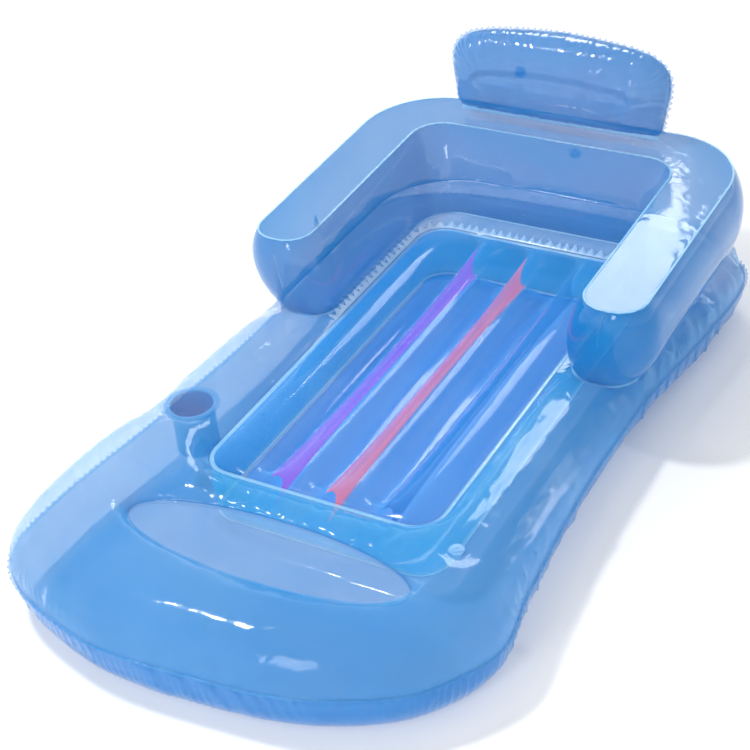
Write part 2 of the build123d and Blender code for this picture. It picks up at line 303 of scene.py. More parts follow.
# %% Mesh builders
def honeycomb(loop, size):
    low, high = loop.min(0), loop.max(0)
    rows = []
    for k, y in enumerate(np.arange(low[1], high[1], size * 0.866)):
        xs = np.arange(low[0] + (size / 2 if k % 2 else 0), high[0], size)
        rows.append(np.stack([xs, np.full(len(xs), y)], 1))
    return np.concatenate(rows)


def tile(outer, holes=(), lines=(), size=9.0, rings=(), hole_rings=()):
    """Triangles over a region. Returns plan points and faces.

    rings are distances in from the outer loop that get their own rows of points;
    hole_rings the same round each hole; lines are open or closed rows to follow."""
    fixed = [outer, *holes, *[line for line, _ in lines]]
    closed = [True] * (1 + len(holes)) + [c for _, c in lines]
    points, edges = [], []
    for loop, shut in zip(fixed, closed):
        first = sum(len(p) for p in points)
        count = len(loop)
        edges += [(first + i, first + (i + 1) % count) for i in range(count if shut else count - 1)]
        points.append(loop)
    out = outward(outer)
    extra = [outer - out * d for d in rings]
    for hole in holes:
        extra += [hole + outward(hole) * d for d in hole_rings]
    cells = honeycomb(outer, size)
    cells = cells[inside(outer, cells)]
    reach = max(rings, default=0) + size * 0.6
    cells = cells[distance(outer[::2], cells) > reach]
    for hole in holes:
        cells = cells[~inside(hole, cells)]
        cells = cells[distance(hole, cells) > max(hole_rings, default=0) + size * 0.5]
    for line, shut in lines:
        cells = cells[distance(line, cells, shut) > size * 0.45]
    keep = []
    for ring in extra:
        good = inside(outer, ring)
        for hole in holes:
            good &= ~inside(hole, ring)
            good &= distance(hole, ring) > 1.5
        for line, shut in lines:
            good &= distance(line, ring, shut) > 2.0
        keep.append(ring[good])
    cloud = np.concatenate(points + keep + [cells])
    verts, _, faces, *_ = geometry.delaunay_2d_cdt([tuple(p) for p in cloud], edges, [], 0, 0.01)
    verts = np.array(verts, float)
    faces = np.array([f for f in faces if len(f) == 3])
    middle = verts[faces].mean(1)
    good = inside(outer, middle)
    for hole in holes:
        good &= ~inside(hole, middle)
    faces = faces[good]
    a, b, c = (verts[faces[:, k]] for k in range(3))
    area = (b[:, 0] - a[:, 0]) * (c[:, 1] - a[:, 1]) - (b[:, 1] - a[:, 1]) * (c[:, 0] - a[:, 0])
    faces = faces[np.abs(area) > 1e-6]
    area = area[np.abs(area) > 1e-6]
    faces[area < 0] = faces[area < 0][:, ::-1]
    return verts, faces


def vertex_normals(verts, faces):
    a, b, c = (verts[faces[:, k]] for k in range(3))
    cross = np.cross(b - a, c - a)
    normal = np.zeros_like(verts)
    for k in range(3):
        np.add.at(normal, faces[:, k], cross)
    return normal / np.maximum(np.linalg.norm(normal, axis=1), 1e-12)[:, None]


def quads(rows, columns, wrap_rows=False, wrap_columns=False):
    """Triangles of a grid of rows by columns, with points numbered row by row."""
    faces = []
    for i in range(rows if wrap_rows else rows - 1):
        for j in range(columns if wrap_columns else columns - 1):
            a, b = i * columns + j, i * columns + (j + 1) % columns
            c, d = (i + 1) % rows * columns + (j + 1) % columns, (i + 1) % rows * columns + j
            faces += [(a, b, c), (a, c, d)]
    return np.array(faces)


PIECES = {}


def make_piece(name, verts, faces, body, nodes=(), slot=None, smooth=True):
    """One visible piece from millimetre points, riding on a body."""
    mesh = bpy.data.meshes.new(name)
    mesh.from_pydata([tuple(v) for v in np.asarray(verts) * MM], [], [tuple(map(int, f)) for f in faces])
    mesh.validate()
    mesh.update()
    mesh.polygons.foreach_set("use_smooth", [smooth] * len(mesh.polygons))
    piece = bpy.data.objects.new(name, mesh)
    bpy.context.scene.collection.objects.link(piece)
    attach(piece, body)
    if nodes:
        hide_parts(*nodes)
    if slot:
        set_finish(piece, slot)
    PIECES[name] = piece
    print(f"{name}: {len(verts)} points, {len(faces)} faces")
    return piece


def sheet_piece(name, verts, faces, body="float", nodes=(), slot=None, thick=FILM):
    """A film: the net, a copy of it thick below, and a wall round every open edge."""
    normal = vertex_normals(verts, faces)
    count = len(verts)
    below = verts - normal * thick
    edge_count = {}
    for f in faces:
        for k in range(3):
            a, b = int(f[k]), int(f[(k + 1) % 3])
            edge_count[(a, b)] = edge_count.get((a, b), 0) + 1
    rim = [(a, b) for (a, b) in edge_count if (b, a) not in edge_count]
    walls = [(b, a, a + count) for a, b in rim] + [(b, a + count, b + count) for a, b in rim]
    solid = np.concatenate([faces, faces[:, ::-1] + count, np.array(walls, int).reshape(-1, 3)])
    return make_piece(name, np.concatenate([verts, below]), solid, body, nodes, slot)


def nearest(loop, points):
    """Arc length of the loop's point nearest to each plan point, and the loop's whole length."""
    step = np.linalg.norm(np.roll(loop, -1, 0) - loop, axis=1)
    far = np.concatenate([[0], np.cumsum(step)[:-1]])
    best = np.zeros(len(points))
    for k in range(0, len(points), 4000):
        p = points[k:k + 4000, None, :]
        best[k:k + 4000] = far[((p - loop[None])**2).sum(2).argmin(1)]
    return best, step.sum()


def pleat_wave(s, whole, pitch=13.0, seed=1):
    """A wave of uneven pleats along a seam, from -1 to 1, that closes on itself."""
    rng = np.random.default_rng(seed)
    turns = max(8, round(whole / pitch))
    phase = 2 * np.pi * s / whole
    bend = sum(a * np.sin(n * phase + p) for n, a, p in zip(
        (3, 7, 12, 21), rng.uniform(0.8, 2.2, 4), rng.uniform(0, 6.28, 4)))
    size = 0.55 + 0.45 * np.sin(rng.integers(5, 9) * phase + rng.uniform(0, 6)) * np.sin(
        rng.integers(11, 17) * phase + rng.uniform(0, 6))
    return np.sin(turns * phase + bend) * size


# %% [markdown]
# ## The base
#
# The top sheet is held at the outer seam, the well rim, the heel rest, the cup rim, the
# valve and all over the foot of the backrest, where air presses on both sides. The bottom
# sheet is held at the seam and the well, and rests flat on the ground.

# %% Base sheets
SEAM_ROWS = (0.8, 3.0, 6.6, 11.5, 18.0, 26.0, 35.5, 46.0)


def within(loop):
    return lambda points: inside(loop, points)


def disc(x, y, r):
    return lambda points: (points[:, 0] - x)**2 + (points[:, 1] - y)**2 < r * r


top_film = Membrane(HULL, [
    (within(WELL_LOOP), RIM), (within(LENS_LOOP), LENS_Z - SEAM_Z),
    (within(u_loop(**U_LOW, grow=2.0)), FOOT_Z - SEAM_Z - 1.2),
    (disc(CUP[0], CUP[1], CUP[2] + 12), CUP_Z[1] - SEAM_Z), (disc(VALVE[0], VALVE[1], 15), VALVE[2] - SEAM_Z)])
low_film = Membrane(HULL, [(within(WELL_LOOP), RIM)])
CUP_LOOP = ellipse(CUP[0], CUP[1], CUP[2] + 0.6, CUP[2] + 0.6, 60)
VALVE_LOOP = ellipse(VALVE[0], VALVE[1], 8.0, 8.0, 24)


def hull_sheet(film, sign, holes, lines, most, pleat, seed):
    """Top (sign 1) or bottom (sign -1) sheet of the base."""
    plan, faces = tile(HULL, holes, lines, size=9.0, rings=SEAM_ROWS, hole_rings=(3.0, 8.0))
    reach = distance(HULL, plan)
    high = soft_limit(film.height(plan, reach), most)
    for hole, level in zip(holes, (RIM, LENS_Z - SEAM_Z, CUP_Z[1] - SEAM_Z, VALVE[2] - SEAM_Z)):
        near = distance(hole, plan)
        high = np.where(near < 0.5, level, high)
    verts = np.column_stack([plan, SEAM_Z + sign * high])
    if sign < 0:
        faces = faces[:, ::-1]
    along, whole = nearest(HULL, plan)
    corner = 1 + 1.3 * np.exp(-((np.abs(plan[:, 0]) - 430) / 70)**2 - ((plan[:, 1] + 600) / 160)**2)
    depth = pleat * corner * np.exp(-reach / 13.0) * (1 - np.exp(-reach / 3.0))
    verts += vertex_normals(verts, faces) * (depth * pleat_wave(along, whole, 14.0, seed))[:, None]
    return verts, faces


verts, faces = hull_sheet(top_film, 1, [WELL_LOOP, LENS_LOOP, CUP_LOOP, VALVE_LOOP],
                          [(U_ROOT, True)], 98.0, 2.4, 3)
sheet_piece("base_top", verts, faces, nodes=["base_top_sheet"], slot="clear_film")
verts, faces = hull_sheet(low_film, -1, [WELL_LOOP], [], SEAM_Z, 2.4, 3)
verts[:, 2] = np.maximum(verts[:, 2], 0.1)
sheet_piece("base_bottom", verts, faces, nodes=["base_bottom_sheet"], slot="blue_film")

# %% [markdown]
# ## The well: turquoise wall, ribbed floor and coloured webs
#
# The two floor sheets are held at the rim and along three webs, so they swell into four
# ribs that run together round the ends of the webs.

# %% Well wall, floor and webs
columns, rows = 520, 15
loop = even(WELL_LOOP, columns)
out = outward(loop)
step_s = np.arange(columns) / columns
low_z, high_z = well_low[2], well_high[2]
wall = []
for i in range(rows):
    v = i / (rows - 1)
    crimp = 1.7 * math.exp(-(1 - v) / 0.16) + 1.2 * math.exp(-v / 0.14)
    wave = pleat_wave(step_s * 2700, 2700, 11.0, 5) * crimp * (0.5 + 0.8 * (loop[:, 1] < -330))
    swell = 3.0 * 4 * v * (1 - v)
    wall.append(np.column_stack([loop + out * (swell - 1.9 + wave - crimp)[:, None], np.full(columns, low_z + (high_z - low_z) * v)]))
sheet_piece("well_wall_band", np.concatenate(wall), quads(rows, columns, wrap_columns=True)[:, ::-1],
            nodes=["well_wall"], slot="turquoise_film")

FLOOR_LOOP = round_box(**WELL, count=420, grow=-8.0)


def on_webs(points):
    hit = np.zeros(len(points), bool)
    for x in WEBS.values():
        hit |= (np.abs(points[:, 0] - x) <= 2.6) & (points[:, 1] > WEB_Y[0]) & (points[:, 1] < WEB_Y[1])
    return hit




def web_reach(y):
    """Half height of a web: least in the middle of its length, where the air pulls the sheets together."""
    t = (y - WEB_Y[0]) / (WEB_Y[1] - WEB_Y[0])
    return WEB_HALF * (0.48 + 0.52 * np.abs(2 * t - 1) ** 2.4)


floor_film = Membrane(WELL_LOOP, [(on_webs, lambda p: web_reach(p[:, 1]))], edge_height=RIM)
web_lines = [(np.column_stack([np.full(150, x), np.linspace(WEB_Y[0], WEB_Y[1], 150)]), False) for x in WEBS.values()]
for name, node, sign, slot_name in (("floor_top", "floor_top_sheet", 1, "clear_film"),
                                    ("floor_bottom", "floor_bottom_sheet", -1, "blue_film")):
    plan, faces = tile(FLOOR_LOOP, (), web_lines, size=8.0, rings=(4.0, 9.0))
    high = np.sqrt(np.maximum(floor_film.look(floor_film.value, plan), 1))
    verts = np.column_stack([plan, SEAM_Z + sign * high])
    sheet_piece(name, verts, faces if sign > 0 else faces[:, ::-1], nodes=[node], slot=slot_name)

rows, columns = 9, 160
for colour, x in WEBS.items():
    sway = np.random.default_rng(int(x) + 500)
    phases = sway.uniform(0, 6.28, 3)
    web = []
    for i in range(rows):
        v = 2 * i / (rows - 1) - 1
        cut = 34.0 * (1 - v * v) ** 0.75
        y = np.linspace(WEB_Y[0] + cut, WEB_Y[1] - cut, columns)
        t = (y - WEB_Y[0]) / (WEB_Y[1] - WEB_Y[0])
        bow = (1 - v * v) * (1.6 * np.sin(9 * t + phases[0]) + 1.1 * np.sin(23 * t + phases[1]) + 0.8)
        lean = 2.5 * v * np.exp(-np.minimum(t, 1 - t) / 0.04)
        web.append(np.column_stack([np.full(columns, x) + bow + lean, y, SEAM_Z + v * (web_reach(y) - 1.0)]))
    piece_name = {"violet": "violet_film", "coral": "coral_film", "blue": "indigo_film"}[colour]
    sheet_piece(f"web_{colour}", np.concatenate(web), quads(rows, columns), nodes=[f"floor_web_{colour}"], slot=piece_name)

# %% [markdown]
# ## Backrest and arms
#
# One long wall runs round the U. It leans and swells between its weld to the base and
# its top seam. The clear top panel is a shallow dome over the same outline.

# %% Backrest walls and top panel
low_loop, top_loop = u_loop(**U_LOW), u_loop(**U_TOP)
columns, rows = len(low_loop), 25
out = outward((low_loop + top_loop) / 2)
out = (out + np.roll(out, 1, 0) + np.roll(out, -1, 0)) / 3
middle = (low_loop + top_loop) / 2
u_inner = inside(u_loop(230, 345, 0, 680, 700, 100, 120, nose=1), middle) | (
    (np.abs(middle[:, 0]) < 300) & (middle[:, 1] < 660) & (middle[:, 1] > 190))
swell_to = np.where(middle[:, 1] < 140, 28.0, 39.0)
swell_to = np.where(u_inner, 24.0, swell_to)
for _ in range(14):
    swell_to = (np.roll(swell_to, 1) + swell_to + np.roll(swell_to, -1)) / 3


def arm_top_z(y):
    """The top seam climbs a little from the arm ends to the back."""
    return ARM_Z - 11.0 + 18.0 * np.clip((y - 110.0) / 640.0, 0, 1)


whole_u = np.linalg.norm(np.roll(low_loop, -1, 0) - low_loop, axis=1).sum()
along_u = nearest(low_loop, low_loop)[0]
wall = []
for i in range(rows):
    v = 0.5 - 0.5 * math.cos(math.pi * i / (rows - 1))
    bulge = swell_to * (4 * v * (1 - v)) ** 0.82
    crimp = 0.9 * np.exp(-v / 0.05) + 0.9 * np.exp(-(1 - v) / 0.045)
    ruffle = pleat_wave(along_u, whole_u, 17.0, 8) * crimp * (0.35 if 0 < i < rows - 1 else 0.0)
    plan = low_loop * (1 - v) + top_loop * v + out * (bulge + ruffle)[:, None]
    z = FOOT_Z * (1 - v) + arm_top_z(top_loop[:, 1]) * v
    wall.append(np.column_stack([plan, z]))
wall = np.concatenate(wall)
wall_faces = quads(rows, columns, wrap_columns=True)
column_of = wall_faces % columns
nose_split = np.abs(low_loop[:, 0]) < 0.5 * (U_LOW["inner"] + U_LOW["outer"])
is_inner = np.zeros(columns, bool)
half_turn = columns // 2
first = int(np.argmax(~nose_split))
last = columns - int(np.argmax(~nose_split[::-1]))
is_inner[:first] = is_inner[last:] = True
inner_faces = is_inner[column_of].sum(1) >= 2
for name, chosen, nodes in (("backrest_inner", inner_faces, ["backrest_inner_wall"]),
                            ("backrest_outer", ~inner_faces, ["backrest_outer_wall"])):
    some = wall_faces[chosen]
    used, packed = np.unique(some, return_inverse=True)
    sheet_piece(name, wall[used], packed.reshape(-1, 3), nodes=nodes, slot="blue_film")

panel_film = Membrane(top_loop, [], cell=4.0, rounds=500)
plan, faces = tile(top_loop, (), (), size=8.0, rings=(1.5, 4.0, 8.0, 13.0))
reach = distance(top_loop, plan)
dome = panel_film.look(np.maximum(panel_film.value, 0), plan)
dome = 19.0 * (1 - np.exp(-dome / 2600.0)) / (1 - math.exp(-3600 / 2600))
along, whole = nearest(top_loop, plan)
dome += 0.9 * np.exp(-reach / 10) * (1 - np.exp(-reach / 2)) * pleat_wave(along, whole, 12.0, 9)
verts = np.column_stack([plan, arm_top_z(plan[:, 1]) + 0.2 + dome])
sheet_piece("backrest_top", verts, faces, nodes=["backrest_top_panel"], slot="clear_film")

# %% [markdown]
# ## Headrest
#
# Two sheets share one crinkled seam. They are solved flat, as the outline looks from the
# front, and then stood up along the root weld and leant back.

# %% Headrest sheets
HEAD_ROOT = dict(y=702.0, z=node_box("headrest_root_weld")[1][2] + 0.3, lean=math.radians(7.0))
head_low, head_high = node_box("headrest_seam_weld")
HEAD_W = head_high[0] - 6.0


def head_outline(count):
    side = [(0.40, 0.0), (0.70, 0.0), (0.86, 0.6), (0.922, 5.0), (0.944, 18.0), (0.962, 52.0), (0.990, 90.0),
            (0.992, 115.0), (0.970, 136.0), (0.914, 153.0), (0.84, 165.0), (0.745, 173.0), (0.50, 182.5), (0.25, 188.0)]
    points = [(x * HEAD_W, z) for x, z in side] + [(0.0, 190.0)]
    points += [(-x * HEAD_W, z) for x, z in reversed(side)] + [(0.0, 0.0)]
    return smooth_loop(points, count)


def stand(x, up, toward):
    """A point of the upright headrest: across, up from the root, and out of its plane to the front."""
    c, s = math.cos(HEAD_ROOT["lean"]), math.sin(HEAD_ROOT["lean"])
    return np.column_stack([x, HEAD_ROOT["y"] + up * s - toward * c, HEAD_ROOT["z"] + up * c + toward * s])


HEAD_LOOP = head_outline(420)
head_film = Membrane(HEAD_LOOP, [], cell=3.0, rounds=500)
for name, node, side in (("headrest_front", "headrest_front_sheet", 1), ("headrest_back", "headrest_back_sheet", -1)):
    plan, faces = tile(HEAD_LOOP, (), (), size=6.0, rings=(0.6, 2.2, 4.8, 8.4, 13.0, 18.5, 25.0))
    reach = distance(HEAD_LOOP, plan)
    thick = soft_limit(head_film.height(plan, reach) * 0.70, 62.0, 0.7)
    along, whole = nearest(HEAD_LOOP, plan)
    upper = np.clip((plan[:, 1] - 30) / 60, 0.15, 1)
    pleat = 4.4 * upper * np.exp(-reach / 17.0) * (1 - np.exp(-reach / 3.0)) * pleat_wave(along, whole, 15.0, 12)
    thick += pleat * side * 0.8
    verts = stand(plan[:, 0], plan[:, 1] + pleat * 0.3, side * (thick + 0.4))
    piece = sheet_piece(name, verts, faces if side > 0 else faces[:, ::-1], body="headrest", nodes=[node], slot="blue_film")

# %% [markdown]
# ## Heel rest and cup well

# %% Heel rest and cup
plan, faces = tile(LENS_LOOP, (), (), size=8.0, rings=(1.5, 5.0, 10.0))
reach = distance(LENS_LOOP, plan)
sag = 1 - np.exp(-reach / 22.0)
verts = np.column_stack([plan, LENS_Z - 1.5 - 6.0 * sag + 0.8 * np.sin(plan[:, 0] / 37) * sag])
sheet_piece("heel_panel", verts, faces, nodes=["heel_rest_panel"], slot="clear_film")
skirt = [np.column_stack([ellipse(0, LENS[2], LENS[0] - d, LENS[1] - d, 240), np.full(240, z)])
         for d, z in ((0.4, LENS_Z), (0.9, LENS_Z - 2.0), (1.2, LENS_Z - 5.0), (1.2, LENS_Z - 8.5))]
sheet_piece("heel_wall", np.concatenate(skirt), quads(4, 240, wrap_columns=True), nodes=["heel_rest_wall"], slot="blue_film")

columns, rows = 120, 22
angle = np.arange(columns) * 2 * math.pi / columns
wall = []
for i in range(rows):
    v = i / (rows - 1)
    folds = 0.9 * np.sin(5 * angle + 3 * v) * np.sin(math.pi * v) + 0.6 * np.sin(13 * angle - 5 * v + 1) * v
    r = CUP[2] + 0.5 - 1.0 * math.sin(math.pi * v) - np.abs(folds) * 0.6
    wall.append(np.column_stack([CUP[0] + r * np.cos(angle), CUP[1] + r * np.sin(angle),
                                 np.full(columns, CUP_Z[0] + (CUP_Z[1] - CUP_Z[0]) * v)]))
sheet_piece("cup_wall_band", np.concatenate(wall), quads(rows, columns, wrap_columns=True)[:, ::-1], nodes=["cup_wall"], slot="blue_film")
floor_loop = ellipse(CUP[0], CUP[1], CUP[2] + 1.0, CUP[2] + 1.0, 96)
plan, faces = tile(floor_loop, (), (), size=5.0, rings=(2.0,))
reach = distance(floor_loop, plan)
verts = np.column_stack([plan, CUP_Z[0] - 0.5 - 2.5 * (1 - np.exp(-reach / 9))])
sheet_piece("cup_base", verts, faces, nodes=["cup_floor"], slot="blue_film")

# %% [markdown]
# ## Welds
#
# Every weld is a flat band of doubled film along one of the outlines. A band starts
# smooth and carries three values on each point: how far along the weld it is, how far
# across the band, and which way it may ripple. The ripple itself comes from nodes.


# %% Bands
BANDS = []


def band(name, node, loop, offsets, z, body="float", thick=1.3, lift=(0, 0, 1), place=None, keep=None, slot="weld",
         turns=60, depth=1.0, scallop=0.0):
    """A strip round a loop between offsets from it, with ripples set aside for the nodes."""
    count, rows = len(loop), len(offsets)
    out = outward(loop)
    along = np.arange(count) / count
    levels = z if hasattr(z, "__len__") else [z] * rows
    flat = np.concatenate([np.column_stack([loop + out * d, np.full(count, h) if np.isscalar(h) else h])
                           for d, h in zip(offsets, levels)])
    faces = quads(rows, count, wrap_columns=True)[:, ::-1]
    columns_kept = np.ones(count, bool) if keep is None else keep(loop)
    faces = faces[columns_kept[faces % count].all(1)]
    used, packed = np.unique(faces, return_inverse=True)
    along_all = np.tile(along, rows)[used]
    across_all = np.repeat(np.linspace(0, 1, rows), count)[used]
    verts, faces = flat[used], packed.reshape(-1, 3)
    lift = np.array(lift, float)
    if place is not None:
        verts = place(verts)
    if (vertex_normals(verts, faces).mean(0) @ lift) < 0:
        faces = faces[:, ::-1]
    piece = sheet_piece(name, verts + lift * thick / 2, faces, body, [node], slot, thick)
    beside = np.column_stack([out, np.zeros(count)])
    beside = place(beside) - place(np.zeros((count, 3))) if place else beside
    ways = np.tile(lift + scallop * beside, (rows, 1))[used]
    mesh = piece.data
    for key, values in (("along", along_all), ("across", across_all)):
        mesh.attributes.new(key, "FLOAT", "POINT").data.foreach_set("value", np.tile(values, 2).astype(np.float32))
    mesh.attributes.new("lift", "FLOAT_VECTOR", "POINT").data.foreach_set(
        "vector", np.tile(ways.ravel(), 2).astype(np.float32))
    BANDS.append((piece, turns, depth))
    return piece


band("base_seam", "base_seam_weld", even(HULL, 1800), (-0.6, 0.8, 2.2, 3.8, 5.4), SEAM_Z, turns=300, depth=2.2,
     scallop=0.7)
rim_loop = even(WELL_LOOP, 900)
band("well_rim_weld", "well_top_weld", rim_loop, (-9.0, -6.0, -3.0, -0.6), SEAM_Z + RIM + 1.0, turns=150, depth=0.35)
band("well_foot_weld", "well_bottom_weld", rim_loop, (-9.0, -6.0, -3.0, -0.6), SEAM_Z - RIM - 1.0, turns=150, depth=0.35)
band("cup_rim", "cup_rim_weld", ellipse(CUP[0], CUP[1], CUP[2] + 2, CUP[2] + 2, 240), (-1.5, 2.0, 6.0, 10.0), CUP_Z[1] + 1.0,
     turns=26, depth=0.5)
band("seat_rim_band", "seat_rim_flange", rim_loop, (1.0, 4.0, 8.0, 12.0, 14.6), [FOOT_Z + 0.8 + r for r in (0, 0.6, 1.5, 2.2, 3.0)],
     turns=140, depth=4.2, keep=lambda loop: loop[:, 1] > 128, scallop=1.4)
u_top, u_foot = even(top_loop, 1500), even(low_loop, 1500)
band("backrest_top_seam", "backrest_top_weld", u_top, (-0.4, 1.2, 2.4, 3.6), [arm_top_z(u_top[:, 1]) + 0.2] * 4, turns=190, depth=0.8)
band("backrest_foot_seam", "backrest_root_weld", u_foot, (1.6, 3.2, 5.0, 6.8), FOOT_Z + 0.7, turns=170, depth=0.9)


def upright(verts):
    return stand(verts[:, 0], verts[:, 1], verts[:, 2])


lean = HEAD_ROOT["lean"]
band("headrest_seam", "headrest_seam_weld", even(HEAD_LOOP, 900), (-0.6, 0.9, 2.4, 4.2, 6.0), 0.0, body="headrest",
     lift=(0, -math.cos(lean), math.sin(lean)), place=upright, keep=lambda loop: loop[:, 1] > 8, turns=92, depth=3.0, scallop=-0.9)

columns = 160
root_low, root_high = node_box("headrest_root_weld")
across = np.linspace(-0.915 * HEAD_W, 0.915 * HEAD_W, columns)
strip = []
for t, y in ((0.0, -0.8), (0.35, -1.3), (0.6, -1.0), (0.8, -1.5), (1.0, -0.8)):
    strip.append(np.column_stack([across, HEAD_ROOT["y"] + y + 0.25 * np.sin(across / 4.1 + t),
                                  np.full(columns, root_low[2] + (root_high[2] - root_low[2]) * t)]))
sheet_piece("headrest_root", np.concatenate(strip), quads(5, columns), body="float",
            nodes=["headrest_root_weld"], slot="weld", thick=1.6)

# %% [markdown]
# ## Materials
#
# Film is seen through, so its colour is set by how much of the light each sheet stops.
# One node group makes the parts that every film shares: uneven colour, fine wrinkles,
# and pale cloudy wear. What depends on the angle of view stays in each material.
# Each film also carries a painted glow, an emission in its own colour that stands in for light coming through from
# behind.


# %% Node helpers and the shared film group
def link(tree, out, into):
    tree.links.new(out, into)


def math_node(tree, operation, a, b=None, clamp=False):
    node = tree.nodes.new("ShaderNodeMath")
    node.operation, node.use_clamp = operation, clamp
    for socket, value in zip(node.inputs, (a, b)):
        if hasattr(value, "links"):
            link(tree, value, socket)
        elif value is not None:
            socket.default_value = value
    return node.outputs[0]


group = bpy.data.node_groups.new("Film surface", "ShaderNodeTree")
for name, kind, value in (("Tint", "NodeSocketColor", (0.3, 0.6, 1, 1)), ("Pale", "NodeSocketColor", (0.8, 0.9, 1, 1)),
                          ("Wrinkle scale", "NodeSocketFloat", 22.0), ("Seed", "NodeSocketFloat", 0.0)):
    group.interface.new_socket(name, in_out="INPUT", socket_type=kind).default_value = value
for name, kind in (("Color", "NodeSocketColor"), ("Density", "NodeSocketFloat"), ("Roughness", "NodeSocketFloat"),
                   ("Height", "NodeSocketFloat")):
    group.interface.new_socket(name, in_out="OUTPUT", socket_type=kind)
given, made = group.nodes.new("NodeGroupInput"), group.nodes.new("NodeGroupOutput")
where = group.nodes.new("ShaderNodeTexCoord")
shift = group.nodes.new("ShaderNodeVectorMath")
shift.operation = "ADD"
link(group, where.outputs["Object"], shift.inputs[0])
link(group, given.outputs["Seed"], shift.inputs[1])


def noise(scale, detail, rough, distort=0.0):
    node = group.nodes.new("ShaderNodeTexNoise")
    link(group, shift.outputs[0], node.inputs["Vector"])
    if hasattr(scale, "links"):
        link(group, scale, node.inputs["Scale"])
    else:
        node.inputs["Scale"].default_value = scale
    node.inputs["Detail"].default_value = detail
    node.inputs["Roughness"].default_value = rough
    node.inputs["Distortion"].default_value = distort
    return node.outputs["Fac"]


clouds = noise(3.2, 3.0, 0.55, 0.4)
creases = noise(given.outputs["Wrinkle scale"], 3.0, 0.45, 1.1)
fine = noise(260.0, 2.0, 0.5)
ridge = math_node(group, "ABSOLUTE", math_node(group, "SUBTRACT", creases, 0.5))
ridge = math_node(group, "POWER", math_node(group, "SUBTRACT", 1.0, math_node(group, "MULTIPLY", ridge, 5.0), clamp=True), 3.0)
wear = math_node(group, "MULTIPLY", math_node(group, "SUBTRACT", clouds, 0.45, clamp=True), 1.4, clamp=True)
mix = group.nodes.new("ShaderNodeMix")
mix.data_type = "RGBA"
link(group, math_node(group, "ADD", wear, math_node(group, "MULTIPLY", ridge, 0.08)), mix.inputs[0])
link(group, given.outputs["Tint"], mix.inputs[6])
link(group, given.outputs["Pale"], mix.inputs[7])
link(group, mix.outputs[2], made.inputs["Color"])
link(group, math_node(group, "ADD", math_node(group, "MULTIPLY", clouds, 0.3), 0.85), made.inputs["Density"])
link(group, math_node(group, "ADD", math_node(group, "MULTIPLY", wear, 0.12), math_node(group, "MULTIPLY", fine, 0.06)),
     made.inputs["Roughness"])
link(group, math_node(group, "ADD", math_node(group, "MULTIPLY", creases, 1.0), math_node(group, "MULTIPLY", fine, 0.012)),
     made.inputs["Height"])


def film_material(name, tint, pale, stop, edge_stop, rough=0.07, wrinkle=22.0, relief=1.2, sharp=2.2, coat=1.0, painted_glow=0.06):
    """See-through film. stop is the share of light one surface stops face on, edge_stop side on; the glow is a painted
    emission in the film's colour that stands in for light from behind.
    """
    material = bpy.data.materials.new(name)
    material.use_nodes = True
    tree = material.node_tree
    principled = tree.nodes["Principled BSDF"]
    film = tree.nodes.new("ShaderNodeGroup")
    film.node_tree = group
    film.inputs["Tint"].default_value = (*tint, 1)
    film.inputs["Pale"].default_value = (*pale, 1)
    film.inputs["Wrinkle scale"].default_value = wrinkle
    film.inputs["Seed"].default_value = float(len(name))
    link(tree, film.outputs["Color"], principled.inputs["Base Color"])
    link(tree, film.outputs["Color"], principled.inputs["Emission Color"])
    principled.inputs["Emission Strength"].default_value = painted_glow  # painted glow: the emission paints in the light that comes through from behind
    link(tree, math_node(tree, "ADD", film.outputs["Roughness"], rough), principled.inputs["Roughness"])
    facing = tree.nodes.new("ShaderNodeLayerWeight")
    facing.inputs["Blend"].default_value = 0.5
    side_on = math_node(tree, "POWER", facing.outputs["Facing"], sharp)
    stopped = math_node(tree, "ADD", math_node(tree, "MULTIPLY", side_on, edge_stop - stop), stop)
    link(tree, math_node(tree, "MULTIPLY", stopped, film.outputs["Density"], clamp=True), principled.inputs["Alpha"])
    bump = tree.nodes.new("ShaderNodeBump")
    bump.inputs["Strength"].default_value = 0.35
    bump.inputs["Distance"].default_value = relief * MM
    link(tree, film.outputs["Height"], bump.inputs["Height"])
    link(tree, bump.outputs["Normal"], principled.inputs["Normal"])
    for key, value in (("IOR", 1.45), ("Specular IOR Level", 0.5), ("Coat Weight", coat), ("Coat Roughness", 0.04),
                       ("Coat IOR", 1.35)):
        principled.inputs[key].default_value = value
    link(tree, bump.outputs["Normal"], principled.inputs["Coat Normal"])
    return material


# The glow strengths below are painted light. The webs glow as if lit from behind, and the floor, wall and clear films
# glow to lift the shade inside the float.
FILMS = {
    "clear_film": film_material("Clear film", (0.06, 0.40, 0.80), (0.22, 0.58, 0.90), 0.15, 0.44, painted_glow=0.12),
    "blue_film": film_material("Blue film", (0.0, 0.215, 0.60), (0.01, 0.29, 0.70), 0.42, 0.68, painted_glow=0.1),
    "turquoise_film": film_material("Turquoise film", (0.0, 0.46, 0.76), (0.08, 0.66, 0.90), 0.36, 0.66, wrinkle=60.0, relief=2.4),
    "violet_film": film_material("Violet film", (0.36, 0.0, 0.58), (0.52, 0.02, 0.72), 0.88, 0.97, wrinkle=35.0, painted_glow=0.55),
    "coral_film": film_material("Coral film", (0.95, 0.09, 0.05), (1.0, 0.22, 0.16), 0.85, 0.97, wrinkle=35.0, painted_glow=0.5),
    "indigo_film": film_material("Deep blue film", (0.0, 0.15, 0.60), (0.01, 0.20, 0.68), 0.36, 0.72, wrinkle=35.0),
    "weld": film_material("Pressed weld", (0.30, 0.68, 0.95), (0.75, 0.93, 1.0), 0.38, 0.72, rough=0.16, wrinkle=90.0, relief=0.8),
    "valve_vinyl": film_material("Moulded valve vinyl", (0.30, 0.60, 0.90), (0.55, 0.78, 0.95), 0.30, 0.70, rough=0.12, coat=0.6),
}
